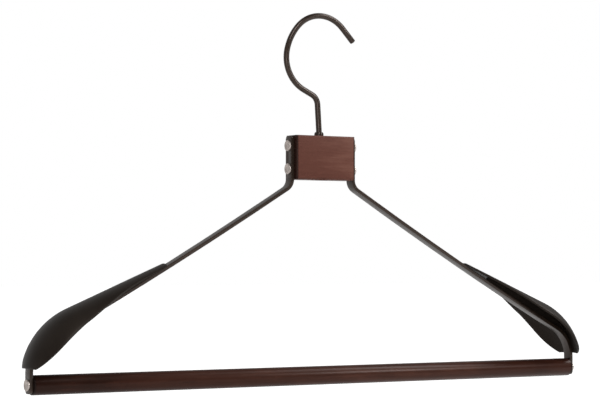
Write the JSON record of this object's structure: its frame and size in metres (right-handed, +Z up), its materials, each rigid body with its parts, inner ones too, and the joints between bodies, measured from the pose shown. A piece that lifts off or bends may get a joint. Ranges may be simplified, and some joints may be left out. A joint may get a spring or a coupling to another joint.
{
  "type": "suit and trouser hanger",
  "caption": "Suit hanger with a swivelling wire hook, wooden centre block, bent flat metal arms, moulded shoulder wings and a round wooden trouser bar.",
  "frame": {"origin": "The rail seat: the highest point of the inside of the hook, in the middle plane of the hanger, where the hook rests on a rail.", "axes": "+Z up, X across the shoulders from the left arm to the right arm, Y from the front to the back, along the rail."},
  "size_m": [0.4424, 0.0454, 0.2586],
  "materials": {
    "dark_metal": "dark bronze, satin",
    "screw_metal": "satin",
    "insert_brass": "plain turned",
    "block_wood": "reddish brown stain, satin lacquer",
    "bar_wood": "dark brown stain, satin lacquer",
    "wing_plastic": "charcoal, soft matte",
    "bond_strip": "dull"
  },
  "bodies": {
    "hook": {"hook": "dark_metal", "hook_washer": "screw_metal", "hook_nut": "screw_metal"},
    "frame": {"hook_collar": "dark_metal", "center_block": "block_wood", "left_arm": "dark_metal", "right_arm": "dark_metal", "left_upper_screw": "screw_metal", "left_lower_screw": "screw_metal", "right_upper_screw": "screw_metal", "right_lower_screw": "screw_metal", "left_upper_insert": "insert_brass", "left_lower_insert": "insert_brass", "right_upper_insert": "insert_brass", "right_lower_insert": "insert_brass", "trouser_bar": "bar_wood", "left_bar_screw": "screw_metal", "right_bar_screw": "screw_metal", "left_bar_insert": "insert_brass", "right_bar_insert": "insert_brass", "left_wing": "wing_plastic", "right_wing": "wing_plastic", "left_wing_bond": "bond_strip", "right_wing_bond": "bond_strip"}
  },
  "joints": [
    {"name": "hook_swivel", "type": "hinge", "parent": "hook", "child": "frame", "pos_m": [-0.0014, 0, -0.0818], "axis": [0, 0, 1], "continuous": true}
  ]
}
